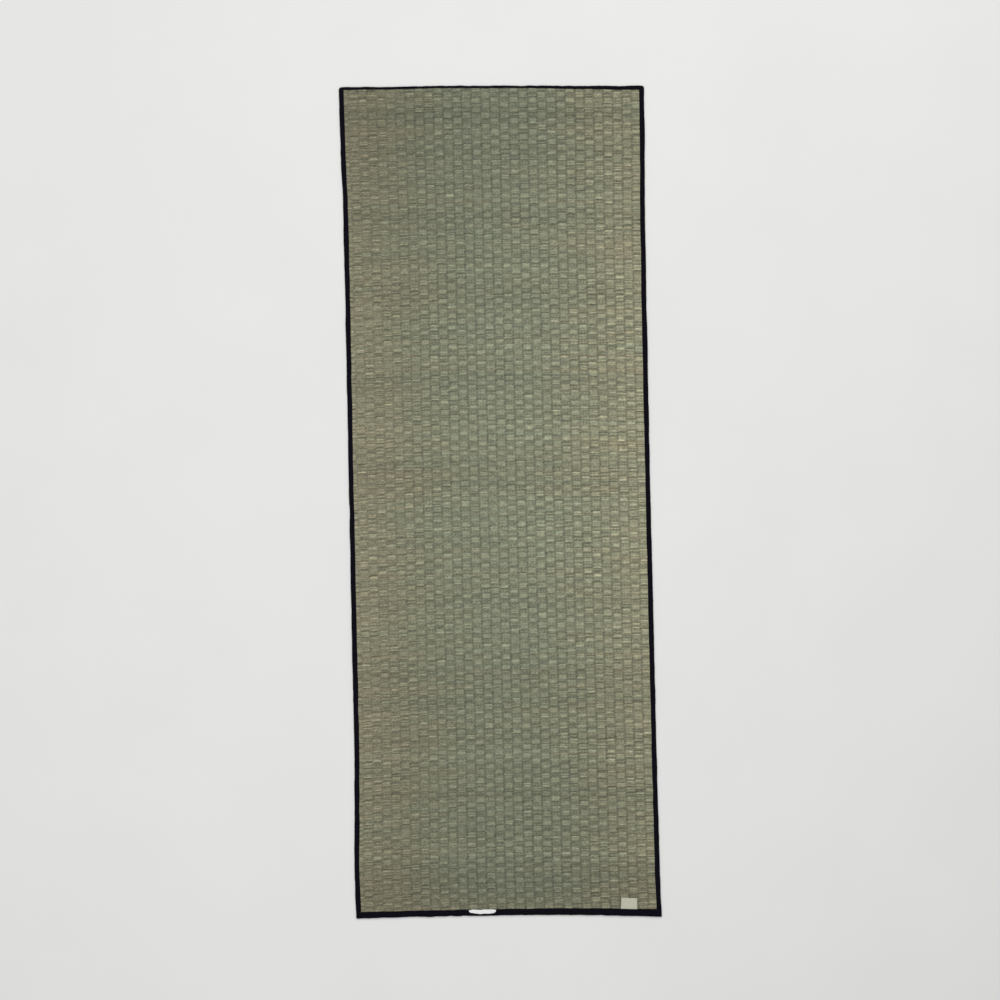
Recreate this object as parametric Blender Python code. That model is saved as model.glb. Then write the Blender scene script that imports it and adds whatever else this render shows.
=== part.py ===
"""Rush floor mat: a woven rush panel with its cut edges bound in folded cotton strips.

The mat lies flat with its underside at Z = 0, its width along X and its length along Y.
All sizes are in metres. Every piece is a closed solid built from a block of cells whose
corners follow the mat's own outline, so the drawn-in sides and arched ends run through
the panel and its binding alike.
"""

import bmesh
import bpy
from mathutils import Vector

SIDE_LENGTH = 1.800
END_WIDTH = 0.659

PANEL_THICK = 0.0030
RIM_BOTTOM = 0.0009
RIM_TOP = 0.0026

CLOTH = 0.0006
GAP = 0.0003
BINDING_TOP = 0.0035
SIDE_BINDING = 0.0087
NEAR_BINDING = 0.0130
FAR_BINDING_LEFT = 0.0054
FAR_BINDING_RIGHT = 0.0084
FOLDED_END = 0.0025
OUTER_ROUND = 0.0009
FAR_CORNER_ROUND = 0.0034
NEAR_CORNER_ROUND = 0.0010

LABEL_WIDTH = 0.0370
LABEL_DEPTH = 0.0250
LABEL_SLANT = 0.0015
LABEL_THICK = 0.0006
LABEL_FROM_RIGHT = 0.0505
LABEL_CORNER = 0.0006

TAB_WIDTH = 0.0600
TAB_DEPTH = 0.0105
TAB_THICK = 0.0006
TAB_OFF_CENTRE = -0.0586
TAB_ROUND_STEPS = 14

SIDE_STATIONS = 32
END_STATIONS = 20

# Along the mat, from the near end: how far each side is drawn in, how far a row of
# rushes falls from the left side to the right side, and how far its middle arches
# towards the far end. All in millimetres.
#    share   left_in  right_in  row_fall  row_arch
ALONG = (
    (0.00,     0.0,      0.0,      8.0,      0.0),
    (0.05,    -2.6,      2.2,      6.0,      4.0),
    (0.12,    -0.9,      3.0,      3.8,      6.0),
    (0.20,     2.2,      3.6,      4.5,      6.0),
    (0.30,     2.0,      4.3,      6.2,      6.0),
    (0.45,     3.0,      5.0,      8.0,      5.6),
    (0.55,     2.6,      5.5,      9.4,      6.0),
    (0.70,     3.6,      4.4,     10.6,      6.2),
    (0.84,     2.5,      3.0,     12.0,      5.6),
    (0.94,     0.2,      0.3,     13.6,      5.0),
    (1.00,     0.0,      0.0,     12.2,      0.0),
)

# Across the mat, from the left: how far each end stands out past a straight line
# between its corners. All in millimetres.
#    share   far_out  near_out
ACROSS = (
    (0.00,     0.0,      0.0),
    (0.10,     0.3,     -1.0),
    (0.20,     1.0,     -1.2),
    (0.35,     3.4,     -2.0),
    (0.50,     3.4,     -2.6),
    (0.65,     3.0,     -1.9),
    (0.80,     1.0,     -0.4),
    (0.92,     0.1,      2.2),
    (1.00,     0.0,      0.4),
)
END_BLEND = 0.055


def read_table(table, share):
    """Values of a table at a share of its length, eased from row to row."""
    share = min(max(share, 0.0), 1.0)
    for low, high in zip(table, table[1:]):
        if share <= high[0]:
            part = (share - low[0]) / (high[0] - low[0])
            ease = part * part * (3.0 - 2.0 * part)
            mixed = 0.5 * part + 0.5 * ease
            return [0.001 * (a + (b - a) * mixed) for a, b in zip(low[1:], high[1:])]
    return [0.001 * value for value in table[-1][1:]]


def side_lines(along):
    """The X of the left and right outline at a share of the length from the near end."""
    left_in, right_in, _, _ = read_table(ALONG, along)
    return -0.5 * END_WIDTH + left_in, 0.5 * END_WIDTH - right_in


def row_offset(across, along):
    """How far a row of rushes lies from a square line, by its places across and along."""
    _, _, fall, arch = read_table(ALONG, along)
    far_out, near_out = read_table(ACROSS, across)
    place = 2.0 * across - 1.0
    offset = arch * (1.0 - place * place)
    near = max(0.0, 1.0 - along / END_BLEND)
    far = max(0.0, 1.0 - (1.0 - along) / END_BLEND)
    offset += near * (-near_out) + far * far_out
    return offset - 0.5 * fall * place


def plan_point(x, along):
    """The plan position at a given X and share of the length."""
    left, right = side_lines(along)
    across = (x - left) / (right - left)
    return x, (along - 0.5) * SIDE_LENGTH + row_offset(across, along)


def far_binding(across):
    """The width of the far binding, which grows from left to right."""
    return FAR_BINDING_LEFT + (FAR_BINDING_RIGHT - FAR_BINDING_LEFT) * across


def inside_left(inset):
    """A line that runs inside the left side."""
    return lambda along: side_lines(along)[0] + inset


def inside_right(inset):
    """A line that runs inside the right side."""
    return lambda along: side_lines(along)[1] - inset


def part_way(share):
    """A line between the sides, at a share of the width."""

    def line(along):
        left, right = side_lines(along)
        return left + (right - left) * share

    return line


def middle_lines():
    """The lines along the mat that the panel and both end bindings share."""
    return [part_way(step / END_STATIONS) for step in range(1, END_STATIONS)]


def from_near(inset):
    """A row at a distance inside the near end."""
    return lambda across: inset / SIDE_LENGTH


def from_far(inset):
    """A row at a distance inside the far end."""
    return lambda across: 1.0 - inset / SIDE_LENGTH


def past_far_binding(gap):
    """A row a gap inside the far binding's inner edge."""
    return lambda across: 1.0 - (far_binding(across) + gap) / SIDE_LENGTH


def along_way(share):
    """A row between the two end bindings."""
    low = (NEAR_BINDING + GAP) / SIDE_LENGTH

    def row(across):
        high = 1.0 - (far_binding(across) + GAP) / SIDE_LENGTH
        return low + (high - low) * share

    return row


def place_corner(line, row, height):
    """The corner where a line along the mat crosses a row, at a height."""
    along = row(0.5)
    for _ in range(3):
        left, right = side_lines(along)
        along = row((line(along) - left) / (right - left))
    x, y = plan_point(line(along), along)
    return Vector((x, y, height))


def cell_solid(lines, rows, heights, filled):
    """A closed mesh round the filled cells of a block.

    Only the faces between a filled cell and an empty one are built, each facing out.
    """
    bm = bmesh.new()
    corners = {}
    counts = (len(lines) - 1, len(rows) - 1, len(heights) - 1)

    def corner(key):
        if key not in corners:
            i, j, k = key
            corners[key] = bm.verts.new(place_corner(lines[i], rows[j], heights[k]))
        return corners[key]

    def solid_at(cell):
        within = all(0 <= cell[axis] < counts[axis] for axis in range(3))
        return within and filled(*cell)

    for i in range(counts[0]):
        for j in range(counts[1]):
            for k in range(counts[2]):
                if not solid_at((i, j, k)):
                    continue
                for axis in range(3):
                    for side in (0, 1):
                        beside = [i, j, k]
                        beside[axis] += 1 if side else -1
                        if solid_at(tuple(beside)):
                            continue
                        add_side(bm, corner, (i, j, k), axis, side)
    return bm


def add_side(bm, corner, cell, axis, side):
    """One outward face of a cell."""
    first = (axis + 1) % 3
    second = (axis + 2) % 3
    ring = []
    for step_first, step_second in ((0, 0), (1, 0), (1, 1), (0, 1)):
        key = list(cell)
        key[axis] += side
        key[first] += step_first
        key[second] += step_second
        ring.append(corner(tuple(key)))
    if not side:
        ring.reverse()
    bm.faces.new(ring)


def plain_material(name, colour, roughness):
    """A matt cloth or rush finish."""
    material = bpy.data.materials.new(name)
    material.use_nodes = True
    shader = material.node_tree.nodes["Principled BSDF"]
    shader.inputs["Base Color"].default_value = (*colour, 1.0)
    shader.inputs["Roughness"].default_value = roughness
    material.diffuse_color = (*colour, 1.0)
    return material


def finish_object(name, bm, material):
    """Turns a built mesh into a named object of the scene."""
    bmesh.ops.recalc_face_normals(bm, faces=bm.faces)
    mesh = bpy.data.meshes.new(name)
    bm.to_mesh(mesh)
    bm.free()
    mesh.materials.append(material)
    part = bpy.data.objects.new(name, mesh)
    bpy.context.scene.collection.objects.link(part)
    return part


def build_panel(material):
    """The woven panel: a flat body with a thinner pressed rim inside the binding."""
    insets = (CLOTH + GAP, FOLDED_END + GAP, SIDE_BINDING + GAP)
    lines = [inside_left(inset) for inset in insets]
    lines += middle_lines()
    lines += [inside_right(inset) for inset in reversed(insets)]
    rows = [from_near(CLOTH + GAP)]
    rows += [along_way(step / SIDE_STATIONS) for step in range(SIDE_STATIONS + 1)]
    rows += [from_far(CLOTH + GAP)]
    heights = [0.0, RIM_BOTTOM, RIM_TOP, PANEL_THICK]
    last_line = len(lines) - 2
    last_row = len(rows) - 2

    def filled(i, j, k):
        in_end = j in (0, last_row)
        in_body = 2 <= i <= last_line - 2 and not in_end
        in_rim = k == 1 and not (in_end and i in (0, last_line))
        return in_body or in_rim

    return finish_object("rush_panel", cell_solid(lines, rows, heights, filled), material)


def outline_edges(bm, is_outer):
    """The top and bottom edges that run along a strip's outer face."""
    chosen = []
    for edge in bm.edges:
        low, high = (vert.co.z for vert in edge.verts)
        level = abs(low - high) < 1e-7 and (low < 1e-7 or low > BINDING_TOP - 1e-7)
        if level and all(is_outer(vert.co) for vert in edge.verts):
            chosen.append(edge)
    return chosen


def round_edges(bm, edges, offset, segments):
    """Rounds the given edges."""
    bmesh.ops.bevel(
        bm,
        geom=edges,
        offset=offset,
        segments=segments,
        profile=0.5,
        affect="EDGES",
        clamp_overlap=True,
    )


def build_side_binding(name, inside, material):
    """A strip folded round one long side, open towards the panel."""
    lines = [inside(0.0), inside(CLOTH), inside(SIDE_BINDING)]
    rows = [along_way(step / SIDE_STATIONS) for step in range(SIDE_STATIONS + 1)]
    heights = [0.0, CLOTH, BINDING_TOP - CLOTH, BINDING_TOP]
    bm = cell_solid(lines, rows, heights, lambda i, j, k: i == 0 or k != 1)
    outer = {
        tuple(round(value, 7) for value in place_corner(lines[0], row, height))
        for row in rows
        for height in heights
    }
    edges = outline_edges(bm, lambda co: tuple(round(v, 7) for v in co) in outer)
    round_edges(bm, edges, OUTER_ROUND, 3)
    return finish_object(name, bm, material)


def build_end_binding(name, end_rows, corner_round, material):
    """A strip folded round one end, its two short ends tucked in and closed."""
    lines = [inside_left(0.0), inside_left(FOLDED_END)]
    lines += middle_lines()
    lines += [inside_right(FOLDED_END), inside_right(0.0)]
    heights = [0.0, CLOTH, BINDING_TOP - CLOTH, BINDING_TOP]
    last_line = len(lines) - 2
    outer_row = 0 if end_rows[0](0.5) < 0.5 else 1

    def filled(i, j, k):
        return i in (0, last_line) or j == outer_row or k != 1

    bm = cell_solid(lines, end_rows, heights, filled)
    rim = end_rows[0] if outer_row == 0 else end_rows[-1]
    ends = [place_corner(line, rim, 0.0) for line in (lines[0], lines[-1])]
    posts = [
        edge
        for edge in bm.edges
        if abs(edge.verts[0].co.z - edge.verts[1].co.z) > 1e-7
        and any((edge.verts[0].co.xy - end.xy).length < 1e-6 for end in ends)
    ]
    round_edges(bm, posts, corner_round, 4)
    bm.normal_update()
    mouth = Vector((0.0, 1.0 if outer_row == 0 else -1.0, 0.0))
    edges = [
        edge
        for edge in outline_edges(bm, lambda co: True)
        if any(abs(face.normal.z) < 0.5 and face.normal.dot(mouth) < 0.5
               for face in edge.link_faces)
        and any(abs(face.normal.z) > 0.5 for face in edge.link_faces)
    ]
    round_edges(bm, edges, OUTER_ROUND, 3)
    return finish_object(name, bm, material)


def prism(plan, bottom, thick):
    """A flat solid over a closed plan outline."""
    bm = bmesh.new()
    low = [bm.verts.new((x, y, bottom)) for x, y in plan]
    high = [bm.verts.new((x, y, bottom + thick)) for x, y in plan]
    count = len(plan)
    bm.faces.new(list(reversed(low)))
    bm.faces.new(high)
    for index in range(count):
        after = (index + 1) % count
        bm.faces.new((low[index], low[after], high[after], high[index]))
    return bm


def build_label(material):
    """A woven label folded flat, its open edge at the near binding's seam."""
    along = (NEAR_BINDING + GAP) / SIDE_LENGTH
    right = side_lines(along)[1] - LABEL_FROM_RIGHT
    left = right - LABEL_WIDTH
    near_left = plan_point(left, along)[1]
    near_right = plan_point(right, along)[1]
    plan = [
        (left, near_left),
        (right, near_right),
        (right, near_right + LABEL_DEPTH),
        (left + LABEL_SLANT, near_left + LABEL_DEPTH),
    ]
    bm = prism(plan, PANEL_THICK + GAP, LABEL_THICK)
    posts = [
        edge
        for edge in bm.edges
        if abs(edge.verts[0].co.z - edge.verts[1].co.z) > 1e-7
    ]
    round_edges(bm, posts, LABEL_CORNER, 3)
    return finish_object("maker_label", bm, material)


def build_tab(material):
    """A half-moon patch on the near binding, its straight side at the binding's seam."""
    seam = NEAR_BINDING / SIDE_LENGTH
    half = 0.5 * TAB_WIDTH
    left = plan_point(TAB_OFF_CENTRE - half, seam)
    right = plan_point(TAB_OFF_CENTRE + half, seam)
    plan = [right, left]
    for step in range(1, TAB_ROUND_STEPS):
        share = step / TAB_ROUND_STEPS
        place = 2.0 * share - 1.0
        depth = TAB_DEPTH * (1.0 - abs(place) ** 2.6) ** 0.5
        x = left[0] + (right[0] - left[0]) * share
        y = left[1] + (right[1] - left[1]) * share
        plan.append((x, y - depth))
    bm = prism(plan, BINDING_TOP + GAP, TAB_THICK)
    return finish_object("white_tab", bm, material)


def centre_parts(parts):
    """Moves all the pieces together so that the whole mat is centred over the origin."""
    points = [vert.co for part in parts for vert in part.data.vertices]
    middle_x = 0.5 * (min(p.x for p in points) + max(p.x for p in points))
    middle_y = 0.5 * (min(p.y for p in points) + max(p.y for p in points))
    for part in parts:
        for vert in part.data.vertices:
            vert.co.x -= middle_x
            vert.co.y -= middle_y


def main():
    """Builds the mat."""
    for old in list(bpy.data.objects):
        bpy.data.objects.remove(old, do_unlink=True)
    rush = plain_material("rush", (0.235, 0.240, 0.160), 0.55)
    navy = plain_material("navy_cotton", (0.006, 0.005, 0.012), 0.85)
    cream = plain_material("cream_label_weave", (0.72, 0.72, 0.58), 0.75)
    white = plain_material("white_tape", (0.84, 0.84, 0.83), 0.70)

    near_rows = [from_near(0.0), from_near(CLOTH), from_near(NEAR_BINDING)]
    far_rows = [past_far_binding(0.0), from_far(CLOTH), from_far(0.0)]
    parts = [
        build_panel(rush),
        build_side_binding("binding_left", inside_left, navy),
        build_side_binding("binding_right", inside_right, navy),
        build_end_binding("binding_near", near_rows, NEAR_CORNER_ROUND, navy),
        build_end_binding("binding_far", far_rows, FAR_CORNER_ROUND, navy),
        build_label(cream),
        build_tab(white),
    ]
    centre_parts(parts)


main()
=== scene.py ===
"""A woven rush floor mat bound in black-navy cotton, lying on a pale floor.

Stalks of dried rush run across the mat in bundles. Each bundle passes over one warp
column and under the next, so that raised and sunken blocks alternate like a
chequerboard. Pairs of thin warp threads run along the mat and show where they cross the
sunken blocks. Every length is in metres, and a share counts from the left or from the
near end.
"""

import logging
import math
from collections.abc import Callable
from dataclasses import dataclass, field
from enum import Enum

import bpy
import numpy as np
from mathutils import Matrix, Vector

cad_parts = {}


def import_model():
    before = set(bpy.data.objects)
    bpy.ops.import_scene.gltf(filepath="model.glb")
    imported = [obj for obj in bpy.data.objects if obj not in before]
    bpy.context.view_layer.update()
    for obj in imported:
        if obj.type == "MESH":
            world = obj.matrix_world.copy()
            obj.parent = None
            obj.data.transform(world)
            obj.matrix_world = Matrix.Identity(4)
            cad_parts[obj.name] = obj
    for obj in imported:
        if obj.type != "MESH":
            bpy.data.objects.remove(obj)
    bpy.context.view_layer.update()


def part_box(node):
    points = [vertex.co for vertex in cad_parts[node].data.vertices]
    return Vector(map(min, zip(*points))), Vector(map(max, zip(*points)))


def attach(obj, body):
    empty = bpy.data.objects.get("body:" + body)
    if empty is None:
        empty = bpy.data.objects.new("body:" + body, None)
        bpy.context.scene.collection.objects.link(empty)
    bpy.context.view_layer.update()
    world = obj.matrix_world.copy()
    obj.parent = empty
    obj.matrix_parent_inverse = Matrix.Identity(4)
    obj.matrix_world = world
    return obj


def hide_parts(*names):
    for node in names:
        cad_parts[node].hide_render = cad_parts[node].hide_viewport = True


log = logging.getLogger("rush_mat")

Array = np.ndarray
MM = 0.001


class Side(Enum):
    """The four bound edges of the mat."""

    LEFT = "left"
    RIGHT = "right"
    NEAR = "near"
    FAR = "far"

    @property
    def lengthwise(self) -> bool:
        """Whether the edge runs along the mat."""
        return self in (Side.LEFT, Side.RIGHT)


def linear(code: str) -> tuple[float, float, float, float]:
    """Turns an sRGB hex colour into a linear one, by the standard's curve.

    Args:
        code: Six hex digits.

    Returns:
        Red, green, blue and full alpha.
    """
    parts = [int(code[i : i + 2], 16) / 255.0 for i in (0, 2, 4)]
    flat = [p / 12.92 if p <= 0.04045 else ((p + 0.055) / 1.055) ** 2.4 for p in parts]
    return (*flat, 1.0)


def ease(value: Array, low: float, high: float) -> Array:
    """Eases numbers from 0 at low to 1 at high, level at both ends."""
    part = np.clip((np.asarray(value, float) - low) / (high - low), 0.0, 1.0)
    return part * part * (3.0 - 2.0 * part)


def curve(table: tuple, at: Array) -> Array:
    """Reads a table of pairs (where, value), straight from one pair to the next."""
    places, values = np.array(table).T
    return np.interp(at, places, values)


def drift(across: Array, along: Array, cells: tuple[int, int], seed: int) -> Array:
    """Smooth random unevenness: random numbers on a lattice, eased in between.

    Args:
        across: Shares from 0 to 1 along the first side of the lattice.
        along: Shares from 0 to 1 along the second side.
        cells: How many lattice cells lie along each side.
        seed: The seed of the random numbers.

    Returns:
        Numbers with a spread of about 1, in the broadcast shape of the two inputs.
    """
    evened_out = 1.25
    lattice = np.random.default_rng(seed).standard_normal((cells[0] + 2, cells[1] + 2))
    a = np.clip(across, 0.0, 1.0) * cells[0]
    b = np.clip(along, 0.0, 1.0) * cells[1]
    i, j = np.floor(a).astype(int), np.floor(b).astype(int)
    s, t = ease(a - i, 0.0, 1.0), ease(b - j, 0.0, 1.0)
    low = lattice[i, j] * (1 - s) + lattice[i + 1, j] * s
    high = lattice[i, j + 1] * (1 - s) + lattice[i + 1, j + 1] * s
    return evened_out * (low * (1 - t) + high * t)


@dataclass
class Graph:
    """The node graph of one material, with one way to add and wire a node.

    Attributes:
        name: The material's name.
    """

    name: str
    material: bpy.types.Material = field(init=False)

    def __post_init__(self) -> None:
        """Starts an empty graph."""
        self.material = bpy.data.materials.new(self.name)
        self.material.use_nodes = True
        self.material.node_tree.nodes.clear()

    def add(
        self, kind: str, inputs: dict | None = None, stops: tuple = (), **settings
    ) -> bpy.types.Node:
        """Adds a node.

        Args:
            kind: The node's type name, without its ShaderNode prefix.
            inputs: By input name or number, a value, an output socket, or a node whose
                first output is meant.
            stops: A colour ramp's places and hex colours, in order.
            **settings: The node's own settings.

        Returns:
            The new node.
        """
        node = self.material.node_tree.nodes.new("ShaderNode" + kind)
        for key, value in settings.items():
            setattr(node, key, value)
        for key, value in (inputs or {}).items():
            if isinstance(value, bpy.types.Node):
                value = value.outputs[0]
            if isinstance(value, bpy.types.NodeSocket):
                self.material.node_tree.links.new(value, node.inputs[key])
            else:
                node.inputs[key].default_value = value
        for number, (place, code) in enumerate(stops):
            elements = node.color_ramp.elements
            if number == len(elements):
                elements.new(place)
            elements[number].position = place
            elements[number].color = linear(code)
        return node


@dataclass(frozen=True)
class RushFinish:
    """Igusa soft rush, mud-dyed, dried and woven as it grew. The eye sees a satin
    grey-green skin that turns tan towards root and tip, streaks along each stalk, and a
    shade of its own for each stalk. Real ribs are about 0.1 mm apart, too fine to show,
    so they are drawn as coarse as they need to show.

    Attributes:
        stops: Colours from a stalk's green middle to its tan ends.
        roughness: How matt the waxy skin is.
        specular: How much it reflects.
        streak_per_m: Streaks in a metre of stalk.
        streak_step: How far apart two stalks are in the streaks' noise.
        streak_level: How much lighter or darker a streak is.
        tan_shares: How much a stalk's number and its streaks turn it tan.
        furrow_shade: How dark a painted shade makes the furrows between the underside's stalks.
        relief: How deep they are.
        rib_relief: The ribs' share of that.
        rib_scale: How fine the ribs are along and across a stalk.
        under_from: The underside's first stalk number.
    """

    stops: tuple = ((0.0, "848D77"), (0.5, "8A8D75"), (1.0, "938D73"))
    roughness: float = 0.62
    specular: float = 0.22
    streak_per_m: float = 170.0
    streak_step: float = 7.31
    streak_level: float = 0.33
    tan_shares: tuple = (0.34, 0.5)
    furrow_shade: float = 0.14
    relief: float = 0.00025
    rib_relief: float = 0.2
    rib_scale: tuple = (60.0, 9.0, 1.0)
    under_from: float = 2000.0

    def build(self) -> bpy.types.Material:
        """Makes the material.

        Returns:
            A material that reads the stalk map, the tan attribute, and the lightness attribute that
            carries painted light and shade.
        """
        g = Graph("rush")
        places = g.add("UVMap", uv_map="stalks")
        stalk = g.add("SeparateXYZ", {0: places}).outputs
        number = g.add("Math", {0: stalk["Y"]}, operation="FLOOR")
        own = g.add("TexWhiteNoise", {"W": number}, noise_dimensions="1D")
        apart = g.add("Math", {0: number, 1: self.streak_step}, operation="MULTIPLY")
        along = g.add("CombineXYZ", {"X": stalk["X"], "Y": apart})
        streak = g.add(
            "TexNoise",
            {"Vector": along, "Scale": self.streak_per_m, "Detail": 2.0, "Roughness": 0.6},
            noise_dimensions="2D",
        )
        place = g.add("Attribute", attribute_name="tan").outputs["Fac"]
        for source, share in zip((own, streak), self.tan_shares):
            place = g.add("Math", {0: source, 1: share, 2: place}, operation="MULTIPLY_ADD")
        colour = g.add("ValToRGB", {"Fac": place}, stops=self.stops)
        level = g.add(
            "MapRange",
            {"Value": streak, "From Min": 0.25, "From Max": 0.75,
             "To Min": 1.0 - self.streak_level, "To Max": 1.0 + self.streak_level},
        )
        # Painted shade: the furrows between the underside's stalks are darkened; they are also sunk
        # in the bump.
        turns = g.add("Math", {0: stalk["Y"], 1: 2 * math.pi}, operation="MULTIPLY")
        wave = g.add("Math", {0: turns}, operation="COSINE")
        under = g.add("Math", {0: stalk["Y"], 1: self.under_from - 1.0}, operation="GREATER_THAN")
        furrow = g.add("Math", {0: wave, 1: under}, operation="MULTIPLY")
        sunk = g.add("Math", {0: furrow, 1: -self.furrow_shade, 2: level}, operation="MULTIPLY_ADD")
        # The lightness attribute carries painted light and shade from the weave.
        tone_and_shade = g.add("Attribute", attribute_name="tone_and_shade").outputs["Fac"]
        shade = g.add("Math", {0: tone_and_shade, 1: sunk}, operation="MULTIPLY")
        lit = g.add("VectorMath", {0: colour, "Scale": shade}, operation="SCALE")
        fine = g.add("VectorMath", {0: places, 1: self.rib_scale}, operation="MULTIPLY")
        ribs = g.add("TexNoise", {"Vector": fine, "Scale": 1.0, "Detail": 1.0}, noise_dimensions="2D")
        sink = g.add("Math", {0: furrow, 1: -0.5}, operation="MULTIPLY")
        height = g.add("Math", {0: ribs, 1: self.rib_relief, 2: sink}, operation="MULTIPLY_ADD")
        bump = g.add("Bump", {"Height": height, "Distance": self.relief, "Strength": 0.7})
        skin = g.add(
            "BsdfPrincipled",
            {"Base Color": lit, "Roughness": self.roughness,
             "Specular IOR Level": self.specular, "Normal": bump},
        )
        g.add("OutputMaterial", {"Surface": skin})
        return g.material


@dataclass(frozen=True)
class ClothFinish:
    """Woven cotton: diagonal or square threads in a matt yarn, with patchy wear. The eye
    sees a dull face with a faint grain. Real cloth has 2,500 to 4,000 threads in a metre,
    too fine to show, so they are drawn as coarse as they need to show.

    Attributes:
        name: The material's name.
        light: The hex colour on the yarn's crests, painted lighter as if lit, and on worn spots.
        dark: The hex colour between yarns, painted darker as shade.
        per_m: Threads in a metre.
        slant: 1 for a twill's diagonal, 0 for a plain weave.
        roughness: How matt the yarn is.
        sheen: How much its fuzz catches light.
        relief: How deep the weave is.
        specular: How much the yarn reflects.
        worn_per_m: Spots of wear in a metre.
        worn_share: How much wear shows beside the threads.
        span: The heights of the dark and the light colour.
    """

    name: str
    light: str
    dark: str
    per_m: float
    slant: float
    roughness: float
    sheen: float
    relief: float
    specular: float
    worn_per_m: float = 160.0
    worn_share: float = 1.2
    span: tuple = (-0.9, 2.1)

    def build(self) -> bpy.types.Material:
        """Makes the material.

        Returns:
            A material that reads the cloth map, which is in metres.
        """
        g = Graph(self.name)
        places = g.add("UVMap", uv_map="cloth")
        cloth = g.add("SeparateXYZ", {0: places}).outputs
        slanted = g.add(
            "Math", {0: cloth["X"], 1: self.slant, 2: cloth["Y"]}, operation="MULTIPLY_ADD"
        )
        waves = []
        for place in (slanted, cloth["X"]):
            turns = g.add("Math", {0: place, 1: 2 * math.pi * self.per_m}, operation="MULTIPLY")
            waves.append(g.add("Math", {0: turns}, operation="SINE"))
        joined = "ADD" if self.slant else "MULTIPLY"
        woven = g.add("Math", {0: waves[0], 1: waves[1]}, operation=joined)
        worn = g.add(
            "TexNoise", {"Vector": places, "Scale": self.worn_per_m, "Detail": 3.0},
            noise_dimensions="2D",
        )
        height = g.add("Math", {0: worn, 1: self.worn_share, 2: woven}, operation="MULTIPLY_ADD")
        low, high = self.span
        place = g.add("MapRange", {"Value": height, "From Min": low, "From Max": high})
        bump = g.add("Bump", {"Height": height, "Distance": self.relief, "Strength": 0.8})
        # The colour follows the weave's height: painted shade between yarns and painted light on
        # their crests, and lighter where the wear raises it.
        colour = g.add("ValToRGB", {"Fac": place}, stops=((0.0, self.dark), (1.0, self.light)))
        yarn = g.add(
            "BsdfPrincipled",
            {"Base Color": colour, "Roughness": self.roughness,
             "Specular IOR Level": self.specular, "Sheen Weight": self.sheen,
             "Sheen Roughness": 0.5, "Normal": bump},
        )
        g.add("OutputMaterial", {"Surface": yarn})
        return g.material


@dataclass(frozen=True)
class MattFinish:
    """A matt, uneven finish for spun yarn and the studio floor. The eye sees two close
    shades and a fine relief, from noise in the object's own coordinates. A yarn's fuzz is
    finer than 0.1 mm, too fine to show, so it is drawn as coarse as it needs to show.

    Attributes:
        name: The material's name.
        light: The lighter shade's hex colour.
        dark: The darker shade's hex colour.
        per_m: Spots of unevenness in a metre.
        relief: How deep they are.
        roughness: How matt it is.
        specular: How much it reflects.
    """

    name: str
    light: str
    dark: str
    per_m: float
    relief: float
    roughness: float
    specular: float

    def build(self) -> bpy.types.Material:
        """Makes the material.

        Returns:
            A material that reads Object coordinates.
        """
        g = Graph(self.name)
        spot = g.add("TexCoord").outputs["Object"]
        fuzz = g.add("TexNoise", {"Vector": spot, "Scale": self.per_m, "Detail": 2.0})
        colour = g.add("ValToRGB", {"Fac": fuzz}, stops=((0.3, self.dark), (0.7, self.light)))
        bump = g.add("Bump", {"Height": fuzz, "Distance": self.relief, "Strength": 0.6})
        matt = g.add(
            "BsdfPrincipled",
            {"Base Color": colour, "Roughness": self.roughness,
             "Specular IOR Level": self.specular, "Normal": bump},
        )
        g.add("OutputMaterial", {"Surface": matt})
        return g.material


@dataclass
class Surface:
    """A mesh built from whole arrays.

    Attributes:
        points: The vertices, one row each.
        faces: Arrays of faces, each of one corner count.
        maps: UV maps by name, as arrays of places that match faces.
        values: Float attributes by name, one number a vertex.
        creases: A line number for each vertex, or -1. An edge along a line is sharp.
    """

    points: Array
    faces: list[Array]
    maps: dict[str, list[Array]] = field(default_factory=dict)
    values: dict[str, Array] = field(default_factory=dict)
    creases: Array | None = None

    def build(self, name: str, material: bpy.types.Material) -> bpy.types.Object:
        """Makes the object.

        Args:
            name: The object's name.
            material: Its material.

        Returns:
            The object, linked to the scene and riding the mat.
        """
        mesh = bpy.data.meshes.new(name)
        sizes = np.concatenate([np.full(len(f), f.shape[1]) for f in self.faces])
        corners = np.concatenate([f.ravel() for f in self.faces]).astype(np.int32)
        mesh.vertices.add(len(self.points))
        mesh.vertices.foreach_set("co", self.points.astype(np.float32).ravel())
        mesh.loops.add(len(corners))
        mesh.loops.foreach_set("vertex_index", corners)
        mesh.polygons.add(len(sizes))
        starts = np.concatenate([[0], np.cumsum(sizes)[:-1]]).astype(np.int32)
        mesh.polygons.foreach_set("loop_start", starts)
        mesh.polygons.foreach_set("use_smooth", np.ones(len(sizes), bool))
        mesh.update(calc_edges=True)
        for key, parts in self.maps.items():
            places = np.concatenate([p.reshape(-1, 2) for p in parts]).astype(np.float32)
            mesh.uv_layers.new(name=key).uv.foreach_set("vector", places.ravel())
        for key, numbers in self.values.items():
            attribute = mesh.attributes.new(key, "FLOAT", "POINT")
            attribute.data.foreach_set("value", numbers.astype(np.float32).ravel())
        if self.creases is not None:
            ends = np.empty(2 * len(mesh.edges), np.int32)
            mesh.edges.foreach_get("vertices", ends)
            lines = self.creases[ends.reshape(-1, 2)]
            sharp = (lines[:, 0] == lines[:, 1]) & (lines[:, 0] >= 0)
            attribute = mesh.attributes.new("sharp_edge", "BOOLEAN", "EDGE")
            attribute.data.foreach_set("value", sharp)
        mesh.materials.append(material)
        made = bpy.data.objects.new(name, mesh)
        bpy.context.scene.collection.objects.link(made)
        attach(made, "root")
        log.info("%s: %d vertices, %d faces", name, len(self.points), len(sizes))
        return made


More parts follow.
